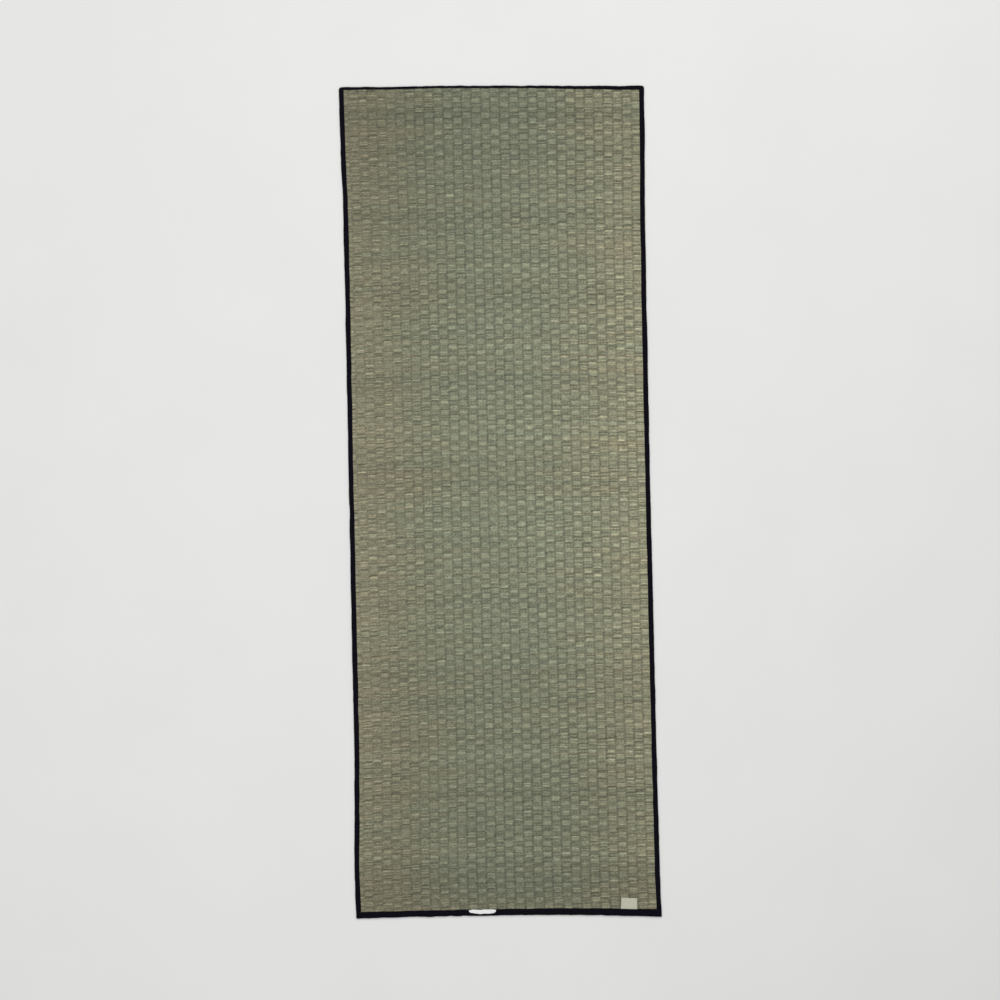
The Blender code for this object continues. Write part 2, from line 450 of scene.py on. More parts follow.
def grid_faces(rows: int, columns: int, wrap: bool = False) -> Array:
    """The faces of a grid of vertices, facing up when columns run along X.

    Args:
        rows: Rows of vertices.
        columns: Columns of vertices.
        wrap: True to join the last column to the first.

    Returns:
        A row of four vertex numbers for each face.
    """
    i = np.arange(rows - 1)[:, None]
    k = np.arange(columns if wrap else columns - 1)[None, :]
    after = (k + 1) % columns
    low, high = i * columns, (i + 1) * columns
    return np.stack([low + k, low + after, high + after, high + k], -1).reshape(-1, 4)


def tube_faces(rings: int, sides: int, turned: Array) -> list[Array]:
    """The faces of closed tubes, one after another.

    Args:
        rings: Sections along a tube.
        sides: Points round a section.
        turned: For each tube, True to turn its faces over.

    Returns:
        Arrays of all the sides, first caps and last caps.
    """
    first = np.arange(sides)[::-1][None, :]
    last = (rings - 1) * sides + np.arange(sides)[None, :]
    starts = (np.arange(len(turned)) * rings * sides)[:, None, None]
    parts = []
    for template in (grid_faces(rings, sides, wrap=True), first, last):
        faces = template[None] + starts
        faces = np.where(np.array(turned)[:, None, None], faces[..., ::-1], faces)
        parts.append(faces.reshape(-1, template.shape[1]))
    return parts


def corner_map(u: Array, v: Array, faces: list[Array]) -> list[Array]:
    """Copies two numbers a vertex onto the corners of arrays of faces."""
    return [np.stack([u[f], v[f]], -1) for f in faces]


@dataclass
class MatPlan:
    """The mat's outline and the lines its rushes follow, as seen from above.

    The weave draws the sides in, the ends are a little out of square, and the rows arch
    towards the far end.

    Attributes:
        length: The length of a side.
        width: The width at the ends.
        along: Rows of (share of the length, left side drawn in, right side drawn in, fall
            of a row from left to right, arch of a row), sizes in millimetres.
        across: Rows of (share of the width, how far the far end stands out, how far the
            near end stands out), sizes in millimetres.
        end_blend: The share of the length over which rows turn into the ends' shape.
        side_binding: The width of the side bindings.
        near_binding: Rows of (share of the width, near binding's width in millimetres).
        far_binding: The same for the far binding.
        shift: What moves the plan onto the solids.
    """

    length: float = 1.800
    width: float = 0.659
    along: tuple = (
        (0.00, -3.2, -0.5, 8.0, 0.0), (0.05, -5.4, 1.4, 6.0, 4.0), (0.12, -2.5, 1.9, 3.8, 6.0),
        (0.20, 0.3, 3.1, 4.5, 6.0), (0.30, 0.4, 3.5, 6.2, 6.0), (0.45, 0.6, 3.7, 8.0, 5.6),
        (0.55, 0.6, 4.0, 9.4, 6.0), (0.70, 1.8, 3.7, 10.6, 6.2), (0.84, 1.7, 2.9, 12.0, 5.6),
        (0.94, -1.3, -0.5, 13.6, 5.0), (1.00, -2.2, -1.4, 12.2, 0.0),
    )
    across: tuple = (
        (0.00, 1.3, 1.2), (0.10, 1.7, 0.0), (0.20, 1.9, -1.3), (0.35, 4.1, -2.0),
        (0.50, 3.4, -2.8), (0.65, 3.5, -2.6), (0.80, 2.7, -0.9), (0.92, 2.2, 1.8),
        (1.00, 2.8, 3.6),
    )
    end_blend: float = 0.055
    side_binding: float = 0.0108
    near_binding: tuple = (
        (0.0, 15.0), (0.06, 13.8), (0.35, 13.8), (0.50, 14.4), (0.65, 14.4), (0.80, 15.2),
        (0.92, 15.5), (1.0, 16.4),
    )
    far_binding: tuple = (
        (0.0, 6.2), (0.10, 5.6), (0.20, 5.2), (0.50, 5.1), (0.65, 5.4), (0.75, 6.6),
        (0.85, 7.4), (0.92, 8.5), (1.0, 8.9),
    )
    shift: tuple = (0.00130, -0.00027)

    @staticmethod
    def read(table: tuple, share: Array) -> list[Array]:
        """Reads a table at shares of its length, half eased from row to row.

        Args:
            table: The table.
            share: Where to read it.

        Returns:
            One array of lengths in metres for each column but the first.
        """
        rows = np.array(table)
        share = np.clip(share, 0.0, 1.0)
        low = np.clip(np.searchsorted(rows[:, 0], share, "right") - 1, 0, len(rows) - 2)
        part = (share - rows[low, 0]) / (rows[low + 1, 0] - rows[low, 0])
        mixed = 0.5 * part + 0.5 * ease(part, 0.0, 1.0)
        steps = rows[low + 1, 1:] - rows[low, 1:]
        values = MM * (rows[low, 1:] + steps * mixed[..., None])
        return [values[..., i] for i in range(values.shape[-1])]

    def sides(self, along: Array) -> tuple[Array, Array]:
        """X of the left and of the right side at shares of the length."""
        left_in, right_in, _, _ = self.read(self.along, np.asarray(along, float))
        return -0.5 * self.width + left_in, 0.5 * self.width - right_in

    def place(self, x: Array, along: Array) -> tuple[Array, Array]:
        """Where a point of a row lies.

        Args:
            x: Its X before the plan is shifted.
            along: Its share of the length.

        Returns:
            Its X and Y.
        """
        x, along = np.broadcast_arrays(np.asarray(x, float), np.asarray(along, float))
        left, right = self.sides(along)
        across = (x - left) / (right - left)
        _, _, fall, arch = self.read(self.along, along)
        far_out, near_out = self.read(self.across, across)
        place = 2.0 * across - 1.0
        near = np.clip(1.0 - along / self.end_blend, 0.0, 1.0)
        far = np.clip(1.0 - (1.0 - along) / self.end_blend, 0.0, 1.0)
        y = (along - 0.5) * self.length - 0.5 * fall * place + arch * (1.0 - place * place)
        y = y - near * near_out + far * far_out
        return x + self.shift[0], y + self.shift[1]

    def spot(self, across: Array, along: Array, aside: Array = 0.0) -> tuple[Array, Array]:
        """X and Y at shares of the width and the length, moved aside to the right."""
        left, right = self.sides(along)
        return self.place(left + (right - left) * across + aside, along)

    def from_edge(self, side: Side, run: Array, depth: Array) -> tuple[Array, Array]:
        """Where a place at a distance in from an edge lies.

        Args:
            side: The edge.
            run: Shares of the edge.
            depth: Distances in from the edge.

        Returns:
            X and Y.
        """
        if side is Side.LEFT:
            return self.spot(0.0, run, depth)
        if side is Side.RIGHT:
            return self.spot(1.0, run, -depth)
        along = depth / self.length
        return self.spot(run, along if side is Side.NEAR else 1.0 - along)

    def bound(self, side: Side, run: Array) -> Array:
        """The width of a side's binding at shares of its edge."""
        if side.lengthwise:
            return np.full(np.shape(run), self.side_binding)
        return MM * curve(self.near_binding if side is Side.NEAR else self.far_binding, run)

    def inside(self, across: Array, along: Array) -> Array:
        """How far a place lies inside the bindings' inner edges.

        Args:
            across: Shares of the width.
            along: Shares of the length.

        Returns:
            Distances, below 0 under a binding.
        """
        sides = np.minimum(across, 1.0 - across) * self.width - self.side_binding
        near = along * self.length - self.bound(Side.NEAR, across)
        far = (1.0 - along) * self.length - self.bound(Side.FAR, across)
        return np.minimum(sides, np.minimum(near, far))


@dataclass
class RushPanel:
    """The woven panel: rush bundles over and under pairs of warp threads.

    Its surface is a grid of lines along the mat (axis 1) and, by turns, the grooves and
    crests of its stalks (axis 0).

    Attributes:
        plan: The mat's plan.
        finish: The rush's finish.
        rows: Bundles along the mat.
        stalks: Stalks across a bundle.
        columns: The first column's number and the one after the last.
        blocks: Random numbers for a row's blocks, a few more than it has columns.
        first_gap: The share of the width at the first line between columns.
        pitch: A column's share of the width.
        stations: Pairs of (share of a column, how full the float is there).
        middle: The height of the panel's middle.
        half: Half the thickness of a bundle.
        raised: How far a raised float stands above the crossing.
        sunken: How far a sunken float lies below it.
        groove: How deep the groove between stalks is.
        sway: How far a float's ends stray across the mat.
        rim: The bottom and top of the rim pressed inside the binding.
        rim_inset: How far the rim stays inside the outline.
        hem: Where the weave rises out of the binding, from its inner edge.
        bands: How many sheets the panel is split into.
        relief: Pairs of (share of the width, how marked the blocks and their painted shade are).
        seams: Pairs of (share of the width, lightness of the painted shade between bundles).
        batch_along: Pairs of (share of the length, lightness).
        batch_across: Pairs of (share of the width, lightness).
        lightness: The lightness of the whole panel.
    """

    plan: MatPlan
    finish: RushFinish
    rows: int = 164
    stalks: int = 6
    columns: tuple = (-1, 33)
    blocks: int = 40
    first_gap: float = 0.0300
    pitch: float = 0.03092
    stations: tuple = ((0.0, 0.0), (0.20, 0.92), (0.5, 1.0), (0.80, 0.92))
    middle: float = 1.50 * MM
    half: float = 0.95 * MM
    raised: float = 0.62 * MM
    sunken: float = 0.40 * MM
    groove: float = 0.34 * MM
    sway: float = 0.5 * MM
    rim: tuple = (1.05 * MM, 2.35 * MM)
    rim_inset: float = 2.3 * MM
    hem: tuple = (-0.5 * MM, 2.4 * MM)
    bands: int = 4
    relief: tuple = (
        (0.0, 0.33), (0.15, 0.48), (0.35, 0.85), (0.55, 1.0), (0.75, 1.0), (0.88, 0.74), (1.0, 0.5)
    )
    seams: tuple = ((0.0, 0.62), (0.35, 0.80), (0.7, 0.80), (1.0, 0.70))
    batch_along: tuple = (
        (0.0, 0.75), (0.04, 0.82), (0.10, 0.88), (0.17, 0.885), (0.24, 0.955), (0.29, 0.94),
        (0.33, 1.045), (0.40, 1.05), (0.50, 1.10), (0.60, 1.04), (0.70, 1.07), (0.80, 0.925),
        (0.88, 0.925), (0.94, 0.83), (1.0, 0.84),
    )
    batch_across: tuple = (
        (0.0, 1.06), (0.1, 0.97), (0.2, 0.945), (0.35, 0.97), (0.5, 0.985), (0.7, 1.0),
        (0.85, 1.025), (1.0, 1.06),
    )
    lightness: float = 1.006

    def __post_init__(self) -> None:
        """Lays out the lines and the stalks and draws their random numbers."""
        self.across, self.column, self.full = self.column_lines()
        self.edges = self.stalk_edges()
        stalk = np.arange(self.rows * self.stalks)
        self.row = stalk // self.stalks
        self.in_bundle = ((stalk % self.stalks + 0.5) / self.stalks * 2.0 - 1.0)[:, None]
        self.crests = 0.5 * (self.edges[1:] + self.edges[:-1])
        self.along = self.by_turns(self.crests, lambda before, after: self.edges)
        self.over = (self.row[:, None] + self.column) % 2 == 0
        self.line = self.column + 2
        self.block = (self.row[:, None], self.line)
        rng = np.random.default_rng(5)
        self.lift = 1.0 + 0.16 * rng.standard_normal((self.rows, self.blocks))
        self.block_tone = 1.0 + 0.025 * rng.standard_normal((self.rows, self.blocks))
        self.segment = rng.standard_normal((len(stalk), self.blocks))
        self.stalk_tone = rng.standard_normal(len(stalk))[:, None]
        uneven = drift(self.across[None, :], self.crests[:, None], (6, 24), 31)
        self.contrast = curve(self.relief, self.across)[None, :] * (1.0 + 0.14 * uneven)

    def column_lines(self) -> tuple[Array, Array, Array]:
        """The lines along the mat that the surface is drawn on, with a few more beside
        the side bindings.

        Returns:
            For each line its share of the width, its column's number and how full the
            float is there.
        """
        shares, fulls = np.array(self.stations).T
        number = np.arange(*self.columns)
        places = (self.first_gap + self.pitch * (number[:, None] + shares)).ravel()
        beside = self.plan.side_binding + np.array([-0.4, 0.9, 2.4]) * MM
        beside = np.concatenate([[self.rim_inset], beside])
        extra = np.concatenate([beside, self.plan.width - beside]) / self.plan.width
        part = (extra - self.first_gap) / self.pitch
        whole = np.floor(part).astype(int)
        full = np.interp(part - whole, [*shares, 1.0], [*fulls, 0.0])
        places = np.concatenate([places, extra])
        numbers = np.concatenate([np.repeat(number, len(shares)), whole])
        fullness = np.concatenate([np.tile(fulls, len(number)), full])
        inset = self.rim_inset / self.plan.width
        keep = (places >= inset - 1e-9) & (places <= 1.0 - inset + 1e-9)
        order = np.argsort(places[keep])
        return places[keep][order], numbers[keep][order], fullness[keep][order]

    def stalk_edges(self) -> Array:
        """Where the grooves between stalks lie, with uneven bundles and stalks.

        Returns:
            Shares of the length, from the near rim to the far rim.
        """
        rng = np.random.default_rng(11)
        bundle = np.clip(1.0 + 0.09 * rng.standard_normal(self.rows), 0.7, 1.4)
        stalk = np.clip(1.0 + 0.2 * rng.standard_normal((self.rows, self.stalks)), 0.55, 1.5)
        widths = (bundle[:, None] * stalk / stalk.sum(1, keepdims=True)).ravel()
        edges = np.concatenate([[0.0], np.cumsum(widths)])
        inset = self.rim_inset / self.plan.length
        return inset + edges / edges[-1] * (1.0 - 2.0 * inset)

    @staticmethod
    def by_turns(crests: Array, groove: Callable[[Array, Array], Array]) -> Array:
        """Lays a groove before, between and after the crests.

        Args:
            crests: A row for each crest.
            groove: Makes the grooves from the crests before and after them.

        Returns:
            All the rows.
        """
        padded = np.concatenate([crests[:1], crests, crests[-1:]])
        rows = np.empty((2 * len(crests) + 1, *crests.shape[1:]))
        rows[0::2], rows[1::2] = groove(padded[:-1], padded[1:]), crests
        return rows

    def batch(self, along: Array) -> Array:
        """How light the rush is by place, as batches of rush differ along the mat.

        Args:
            along: Shares of the length.

        Returns:
            Lightness, about 1, by place along and line across.
        """
        across, along = self.across[None, :], along[:, None]
        # Across the mat it grows lighter towards the right, more so further along: partly painted
        # sheen, partly the rush's own lighter colour.
        slope = 0.075 * ease(along, 0.05, 0.6) + 0.02 * ease(along, 0.6, 1.0)
        side = 1.0 + (slope + 0.03) * (2.0 * across - 1.0) + 0.03 * ease(across, 0.8, 1.0)
        level = self.lightness * curve(self.batch_along, along)
        return level * side * curve(self.batch_across, across)

    def tan_field(self) -> Array:
        """How tan the rush is by place: its root and tip ends lie towards the sides, and
        bundles differ.

        Returns:
            0 for green, 1 for tan.
        """
        across, along = self.across[None, :], self.along[:, None]
        ends = 0.42 * (1.0 - ease(across, 0.0, 0.45)) + 0.29 * ease(across, 0.55, 1.0)
        near_end = 0.16 * (1.0 - ease(along, 0.0, 0.07))
        wide = 0.045 * drift(across, along, (5, 70), 21)
        fine = 0.04 * drift(across, along, (14, 160), 22)
        return ends + near_end + (wide + fine) + 0.05

    def heights(self) -> Array:
        """The top's heights. Along a stalk the height rises over a raised block and falls
        over a sunken one, times how full the float is, and across a stalk it runs from
        groove to crest to groove.

        Returns:
            Heights by row and line.
        """
        pillow = 1.0 - 0.30 * self.in_bundle**2
        amount = np.where(self.over, self.raised * pillow, -self.sunken)
        marked = self.lift[self.block] * np.clip(self.contrast, 0.4, 1.3)
        crest = self.middle + self.half + amount * self.full * marked
        crest -= 0.30 * MM * (1.0 - self.full)
        crest += 0.08 * MM * self.segment[:, self.line] * self.full
        crest += 0.05 * MM * self.stalk_tone
        uneven = drift(self.across[None, :], self.edges[:, None], (30, 400), 41)
        depth = self.groove * (1.0 + 0.25 * uneven)
        return self.by_turns(crest, lambda before, after: np.minimum(before, after) - depth)

    def tones_and_shade(self) -> Array:
        """The top's lightness, with painted light and shade. Raised blocks are painted lighter
        and sunken ones darker, more so where the blocks are marked. Each stalk of a block
        differs, mostly from the stalks beside it, and the grooves and the gaps between
        columns are painted darker as shade.

        Returns:
            Lightness with painted light and shade, by row and line.
        """
        # Painted light and shade: raised blocks are painted lighter and sunken ones darker.
        tone_and_shade = 1.0 + np.where(self.over, 0.108, -0.082) * np.clip(self.contrast, 0.4, 1.4)
        spread = 0.15 + 0.19 * np.abs(2.0 * self.across - 1.0)
        paired = (np.roll(self.segment, 1, 0) - np.roll(self.segment, -1, 0)) / math.sqrt(2.0)
        uneven = np.clip(0.25 * self.segment + 0.90 * paired, -1.5, 2.3)[:, self.line]
        uneven = np.where(self.over & (uneven < 0.0), 0.5 * uneven, uneven)
        uneven = uneven * np.where(self.over, 1.0, 0.8)
        # Painted shade: the outer stalks of a sunken block, beside the raised blocks, are painted
        # darker, and a raised block's a little.
        shaded = 1.0 - np.where(self.over, 0.03, 0.16) * self.in_bundle**2
        tone_and_shade = tone_and_shade * (1.0 + spread * uneven) * shaded * self.block_tone[self.block]
        tone_and_shade = tone_and_shade * (1.0 + 0.045 * self.stalk_tone)
        # Painted shade: the gaps between columns, where the stalks dive, are painted dark.
        gap = 0.84 - 0.16 * ease(self.across, 0.0, 0.45) + 0.12 * self.segment[:, self.line]
        tone_and_shade = np.where(self.full < 0.5, gap, tone_and_shade)
        # Painted shade: the grooves between stalks are painted darker, and more so between bundles.
        between_bundles = (np.arange(len(self.edges)) % self.stalks == 0)[:, None]
        seam = np.where(between_bundles, curve(self.seams, self.across)[None, :], 0.80)
        tones_and_shade = self.by_turns(tone_and_shade, lambda before, after: np.minimum(before, after) * seam)
        tones_and_shade *= self.batch(self.along)
        return tones_and_shade * (1.0 + 0.035 * drift(np.array([[0.5]]), self.along[:, None], (2, 90), 51))

    def underside(self, along: Array) -> tuple[Array, Array]:
        """The underside's heights and lightness, with the same blocks as the top and two
        rows to a bundle, and with painted shade in its recesses.

        Args:
            along: The rows' shares of the length.

        Returns:
            Heights, and lightness with painted shade, by row and line.
        """
        index = np.arange(len(along))
        row = np.minimum(index // 2, self.rows - 1)
        over = (row[:, None] + self.column) % 2 == 0
        inner = np.where(over, self.raised + 0.10 * MM, -self.sunken)
        centre = self.middle - self.half + inner * self.full
        boundary = self.middle - self.half + 0.30 * MM
        bottom = np.where((index % 2 == 1)[:, None], centre, boundary)
        # Painted shade: blocks raised on top lie recessed underneath and are painted darker, and the
        # gaps between columns darker still.
        tones_and_shade = np.where(over, 0.84, 0.98) * self.block_tone[row[:, None], self.line]
        tones_and_shade = np.where(self.full < 0.5, 0.76, tones_and_shade)
        return np.maximum(bottom, 0.02 * MM), tones_and_shade * self.batch(along)

    def strays(self, inside: Array) -> Array:
        """How far the ends of the floats stray across the mat.

        Args:
            inside: How far inside the bindings each place lies.

        Returns:
            Distances by row and line.
        """
        stray = self.sway * np.random.default_rng(6).standard_normal((self.rows, self.blocks))
        stray = np.clip(stray, -2.0 * self.sway, 2.0 * self.sway)[self.block]
        sway = self.by_turns(stray, lambda before, after: 0.5 * (before + after))
        return sway * ease(inside, 2.0 * MM, 12.0 * MM)

    def build(self, thread: MattFinish) -> list[bpy.types.Object]:
        """Builds the panel's sheets and its warp threads. The rows rise out of the
        pressed rim, wander a little along the mat and lie on the plan.

        Args:
            thread: The warp threads' finish.

        Returns:
            The objects.
        """
        across, along = self.across[None, :], self.along[:, None]
        step = slice(None, None, self.stalks)
        low_along = self.along[step]
        bottom, low_tones_and_shade = self.underside(low_along)
        inside = self.plan.inside(across, along)
        hold = ease(inside, *self.hem)
        top = self.heights()
        pressed = self.rim[1] + (top - self.middle - self.half) * 0.12 * (1 - hold)
        top = pressed + (top - self.rim[1]) * hold
        low_hold = ease(self.plan.inside(across, low_along[:, None]), *self.hem)
        bottom = self.rim[0] + (bottom - self.rim[0]) * low_hold

        sway = self.strays(inside)
        wander = 0.55 * MM * drift(across, along, (18, 120), 61) * hold
        px, py = self.plan.spot(across, along, sway)
        grid = np.stack([px, py + wander, top], -1)
        low_grid = np.concatenate([grid[step, :, :2], bottom[..., None]], -1)
        tones_and_shade, tans, material = self.tones_and_shade(), self.tan_field(), self.finish.build()
        sheets = [
            self.band(number, (grid, low_grid), (tones_and_shade, low_tones_and_shade), tans, material)
            for number in range(self.bands)
        ]
        return [*sheets, self.warp(thread)]

    def band(
        self, number: int, grids: tuple, tones_and_shade: tuple, tans: Array, material: bpy.types.Material
    ) -> bpy.types.Object:
        """Builds one closed sheet of the panel, cut in the grooves between bundles.

        Args:
            number: Which sheet, from the near end.
            grids: The points of the top and of the underside.
            tones_and_shade: The lightness of the top and of the underside, with painted shade.
            tans: The top's tan.
            material: The rush.

        Returns:
            The sheet.
        """
        first = self.rows * number // self.bands
        last = self.rows * (number + 1) // self.bands
        i = slice(2 * self.stalks * first, 2 * self.stalks * last + 1)
        q = slice(2 * first, 2 * last + 1)
        top, low = grids[0][i], grids[1][q]
        rows, columns = top.shape[:2]
        low_rows = low.shape[0]
        base = rows * columns
        points = np.concatenate([top.reshape(-1, 3), low.reshape(-1, 3)])

        lower = base + grid_faces(low_rows, columns)[:, ::-1]
        k = np.arange(columns - 1)
        near = np.stack([base + k, base + k + 1, k + 1, k], -1)
        end_top, end_low = (rows - 1) * columns, base + (low_rows - 1) * columns
        far = np.stack([end_low + k + 1, end_low + k, end_top + k, end_top + k + 1], -1)
        half = np.arange(low_rows - 1)[:, None]
        steps = np.arange(self.stalks + 1)[None, :]
        under = np.concatenate([half + 1, half], 1) * columns + base
        over = (half * self.stalks + steps) * columns
        wall = np.concatenate([under, over], 1)
        faces = [grid_faces(rows, columns), lower, near, far, wall, (wall + columns - 1)[:, ::-1]]

        # Only the grooves and the cut edges are shaded sharp.
        line = np.where(np.arange(rows) % 2 == 0, np.arange(rows), -1)
        low_line = np.full(low_rows, -1)
        low_line[[0, -1]] = rows, rows + 1
        stalk = (np.arange(rows) + i.start) / 2.0
        low_stalk = (np.arange(low_rows) + q.start) * self.stalks / 2.0 + self.finish.under_from
        stalk, v, creases = (
            np.repeat(np.concatenate(pair), columns)
            for pair in (
                (stalk, low_stalk),
                (np.linspace(0.35, 0.99, rows), np.linspace(0.01, 0.32, low_rows)),
                (line, low_line),
            )
        )
        metres = np.tile(self.across * self.plan.width, rows + low_rows)
        stalks_map = corner_map(metres, stalk, faces)
        # The bake map lays the top, the underside and the four walls side by side.
        u = np.tile(np.linspace(0.01, 0.985, columns), rows + low_rows)
        bake_map = corner_map(u, v, faces)
        for part, low_edge in ((2, 0.326), (3, 0.336)):
            bake_map[part][:, :2, 1] = low_edge
            bake_map[part][:, 2:, 1] = low_edge + 0.006
        for part, low_edge in ((4, 0.988), (5, 0.994)):
            high = faces[part] < base
            bake_map[part][..., 0] = low_edge + 0.004 * high
            row = np.where(high, 0, faces[part] - base) // columns
            beside = np.linspace(0.35, 0.99, low_rows)[row]
            bake_map[part][..., 1] = np.where(high, v[faces[part]], beside)

        values = {
            "tone_and_shade": np.concatenate([tones_and_shade[0][i].ravel(), tones_and_shade[1][q].ravel()]),
            "tan": np.concatenate([tans[i].ravel(), tans[i][:: self.stalks].ravel()]),
        }
        maps = {"stalks": stalks_map, "OFBake": bake_map}
        name = f"weave_{number + 1}"
        sheet = Surface(points, faces, maps, values, creases).build(name, material)
        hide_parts("rush_panel")
        return sheet

    def warp(self, thread: MattFinish) -> bpy.types.Object:
        """Builds the warp threads, two to a column.

        Each is a thin tube along the mat that runs over the sunken blocks and under the
        raised ones, level over most of a block and crossing near its edges.

        Args:
            thread: The threads' finish.

        Returns:
            All the threads as one object.
        """
        rise, apart, width, depth = 0.16 * MM, 3.2 * MM, 0.36 * MM, 0.28 * MM
        bounds = self.edges[:: self.stalks]
        low, high = bounds[:-1], bounds[1:]
        along = np.stack([low + 0.2 * (high - low), low + 0.8 * (high - low)], 1).ravel()
        row = np.repeat(np.arange(self.rows), 2)
        columns = np.arange(self.columns[0], self.columns[1] - 1)
        centres = self.first_gap + self.pitch * (columns + 0.5)
        keep = (centres > 0.02) & (centres < 0.98)
        columns, centres = columns[keep], centres[keep]
        gap = apart / self.plan.width
        share = np.stack([centres - gap, centres + gap], 1).ravel()[:, None]
        over = (row[None, :] + np.repeat(columns, 2)[:, None]) % 2 == 0
        upper = self.middle + self.half - self.sunken + rise
        lower = self.middle - self.half + self.raised - rise
        height = np.where(over, lower, upper)
        hold = ease(self.plan.inside(share, along[None, :]), -1.0 * MM, 2.0 * MM)
        rim = 0.5 * (self.rim[0] + self.rim[1])
        height = rim + (height - rim) * hold
        px, py = self.plan.spot(share, along[None, :])
        wander = 0.15 * MM * drift(share, along[None, :], (60, 160), 71)
        centre = np.stack([px + wander, py, height], -1)
        turn = np.array([0.5, 7.0 / 6.0, 11.0 / 6.0]) * math.pi
        ring = np.stack([width * np.cos(turn), 0 * turn, depth * np.sin(turn)], -1)
        points = centre[:, :, None, :] + ring[None, None, :, :]
        threads, rings, sides = points.shape[:3]
        faces = tube_faces(rings, sides, np.full(threads, True))
        made = Surface(points.reshape(-1, 3), faces).build("warp_threads", thread.build())
        return made


@dataclass
class Binding:
    """A strip of cotton folded round one edge of the mat and sewn through.

    Attributes:
        plan: The mat's plan.
        side: The edge it binds.
        corner: How round an end strip's outer corners are.
        top: The height of its top; not used.
        middle: The height of the fold's middle.
        folded_end: How much of an end strip's short end is tucked in and closed.
        step: The distance between sections.
        section: The section's points, from the underside's inner edge round the fold to
            the top's inner edge and back inside: distance from the outline as a share of
            the width and millimetres more, then height in millimetres.
        lining: How many of them, the last ones, lie inside the fold.
        end_places: Where the sections at an end strip's end lie, in millimetres.
    """

    plan: MatPlan
    side: Side
    corner: float
    top: float = 3.5 * MM
    middle: float = 1.75 * MM
    folded_end: float = 2.5 * MM
    step: float = 4.0 * MM
    section: tuple = (
        (1.0, 0, 0.08), (0.97, 0, 0.0), (0.72, 0, 0.0), (0.3, 0, 0.0), (0, 1.15, 0.02),
        (0, 0.45, 0.28), (0, 0.08, 0.95), (0, 0.0, 1.75), (0, 0.10, 2.6), (0, 0.48, 3.22),
        (0, 1.2, 3.50), (0.32, 0, 3.58), (0.55, 0, 3.56), (0.74, 0, 3.44), (0.80, 0, 3.38),
        (0.87, 0, 3.44), (0.95, 0, 3.42), (1.0, 0, 3.28), (0.99, 0, 2.92), (0.55, 0, 2.92),
        (0, 1.5, 2.85), (0, 0.85, 2.5), (0, 0.62, 1.75), (0, 0.85, 1.0), (0, 1.5, 0.65),
        (0.55, 0, 0.6), (0.99, 0, 0.6),
    )
    lining: int = 9
    end_places: tuple = (0.0, 0.2, 0.6, 1.1, 1.8, 2.5, 2.56, 3.4)

    def places(self) -> Array:
        """Where the sections lie. A side strip runs from one end strip to the other, and
        an end strip has more sections at its ends.

        Returns:
            Shares of the edge.
        """
        plan = self.plan
        if self.side.lengthwise:
            corner = 0.005 if self.side is Side.LEFT else 0.995
            start = (plan.bound(Side.NEAR, corner) + 0.2 * MM) / plan.length
            stop = 1.0 - (plan.bound(Side.FAR, corner) + 0.2 * MM) / plan.length
            return np.linspace(start, stop, int((stop - start) * plan.length / self.step) + 1)
        end = np.array(self.end_places) * MM / plan.width
        between = np.linspace(end[-1], 1.0 - end[-1], int(plan.width / self.step) + 1)[1:-1]
        return np.concatenate([end, between, 1.0 - end[::-1]])

    def close_ends(self, place: Array, depth: Array, height: Array, width: Array) -> tuple:
        """Closes and rounds an end strip's ends and flattens them a little.

        Args:
            place: The sections' shares of the edge.
            depth: The points' distances from the outline.
            height: The points' heights.
            width: The strip's width at each section, as a column.

        Returns:
            The new distances and heights.
        """
        from_end = np.minimum(place, 1.0 - place) * self.plan.width
        closed = from_end < self.folded_end + 0.03 * MM
        depth[closed, -self.lining :] = width[closed] * 0.995
        height[closed, -self.lining :] = np.linspace(2.9, 0.6, self.lining) * MM
        room = np.clip(self.corner - from_end, 0.0, self.corner)
        pull = self.corner - np.sqrt(np.maximum(self.corner**2 - room**2, 0.0))
        depth = depth + pull[:, None] * (1.0 - np.clip(depth / width, 0.0, 1.0))
        squeeze = 0.62 + 0.38 * ease(from_end, -0.4 * MM, 0.9 * MM)[:, None]
        return depth, self.middle + (height - self.middle) * squeeze

    def build(self, material: bpy.types.Material) -> bpy.types.Object:
        """Builds the strip as one closed sheet, its section swept along its edge. The
        top puffs a little between the fold and the seam, and the fold strays a little.

        Args:
            material: The binding's cloth.

        Returns:
            The strip.
        """
        plan, side = self.plan, self.side
        seed = 1 + list(Side).index(side)
        place = self.places()
        zero = np.zeros_like(place)
        width = plan.bound(side, place) + 0.22 * MM * drift(place, zero, (60, 1), 100 + seed)
        breadth = width[:, None]
        share, more, rise = np.array(self.section).T
        depth = share * breadth + more * MM
        height = np.broadcast_to(rise * MM, depth.shape)
        puff = 0.07 * MM * drift(place[:, None], depth / 0.02, (150, 3), 110 + seed)
        puffed = (height > 2.0 * MM) & (depth < breadth * 0.9)
        height = height + np.where(puffed, puff, 0.0)
        stray = 0.28 * MM * drift(place, zero, (45, 1), 120 + seed)
        stray += 0.12 * MM * drift(place, zero, (140, 1), 130 + seed)
        outward = (stray * ease(np.minimum(place, 1 - place), 0.0, 0.02))[:, None]
        depth = depth + outward * (1.0 - np.clip(depth / breadth, 0.0, 1.0))
        if not side.lengthwise:
            depth, height = self.close_ends(place, depth, height, breadth)
        px, py = plan.from_edge(side, place[:, None], depth)
        points = np.stack([px, py, height], -1)
        rows, columns = points.shape[:2]
        faces = tube_faces(rows, columns, [side in (Side.LEFT, Side.FAR)])

